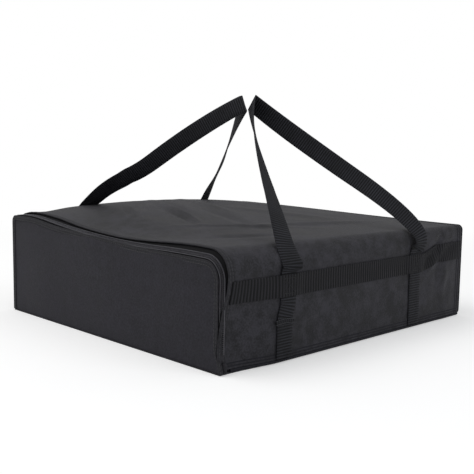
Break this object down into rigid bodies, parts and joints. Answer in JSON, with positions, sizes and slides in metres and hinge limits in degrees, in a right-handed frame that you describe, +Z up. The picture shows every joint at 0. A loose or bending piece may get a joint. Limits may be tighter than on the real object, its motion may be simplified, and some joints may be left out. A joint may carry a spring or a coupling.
{
  "type": "insulated delivery bag",
  "caption": "Low soft insulated carrier for flat boxes, with a padded front flap that zips shut, webbing bands on both sides and two standing handle loops.",
  "frame": {"origin": "on the floor under the middle of the bag, at the centre of the bottom cover's underside", "axes": "+X along the front opening to the right, +Y from the front flap to the back, +Z up"},
  "size_m": [0.4672, 0.4803, 0.3141],
  "materials": {
    "cloth": "coated woven polyester, dull black with a soft sheen",
    "binding": "black binding tape, matt",
    "webbing": "black ribbed webbing",
    "tape": "black twill zipper tape",
    "teeth": "black moulded teeth, satin",
    "metal": "black painted zinc, satin",
    "foam": "pale closed-cell foam",
    "liner": "silver foil-faced lining"
  },
  "bodies": {
    "bag": {"outer_wrap": "cloth", "mouth_hem": "binding", "back_cover": "cloth", "bottom_cover": "cloth", "back_piping": "binding", "bottom_piping_left": "binding", "bottom_piping_right": "binding", "foam_top": "foam", "foam_left": "foam", "foam_right": "foam", "foam_bottom": "foam", "foam_back": "foam", "liner_wrap": "liner", "liner_bottom": "liner", "liner_back": "liner", "mouth_facing": "binding", "zipper_tape_body": "tape", "zipper_teeth_body": "teeth", "zipper_end_tab_left": "binding", "zipper_end_tab_right": "binding", "side_band_left": "webbing", "side_band_right": "webbing", "anchor_left_front": "webbing", "anchor_left_back": "webbing", "anchor_right_front": "webbing", "anchor_right_back": "webbing"},
    "flap": {"flap_border": "binding", "flap_cover": "cloth", "flap_foam": "foam", "flap_liner": "liner", "zipper_tape_flap": "tape", "zipper_teeth_flap": "teeth"},
    "slider": {"slider": "metal"},
    "pull": {"pull_tab": "metal"},
    "handle_left": {"handle_left": "webbing"},
    "handle_right": {"handle_right": "webbing"}
  },
  "joints": [
    {"name": "flap_hinge", "type": "hinge", "parent": "bag", "child": "flap", "pos_m": [0, -0.24, 0.0006], "axis": [1, 0, 0], "range_deg": [0, 90]},
    {"name": "slider_slide", "type": "slide", "parent": "bag", "child": "slider", "axis": [0, 0, 1], "range_m": [0, 0.04]},
    {"name": "pull_hinge", "type": "hinge", "parent": "slider", "child": "pull", "pos_m": [-0.23065, -0.2325, 0.046], "axis": [0, 1, 0], "range_deg": [0, 150]},
    {"name": "handle_left_hinge", "type": "hinge", "parent": "bag", "child": "handle_left", "pos_m": [-0.2315, -0.0135, 0.1102], "axis": [0, -1, 0], "range_deg": [0, 120]},
    {"name": "handle_right_hinge", "type": "hinge", "parent": "bag", "child": "handle_right", "pos_m": [0.2315, -0.0135, 0.1102], "axis": [0, 1, 0], "range_deg": [0, 120]}
  ]
}
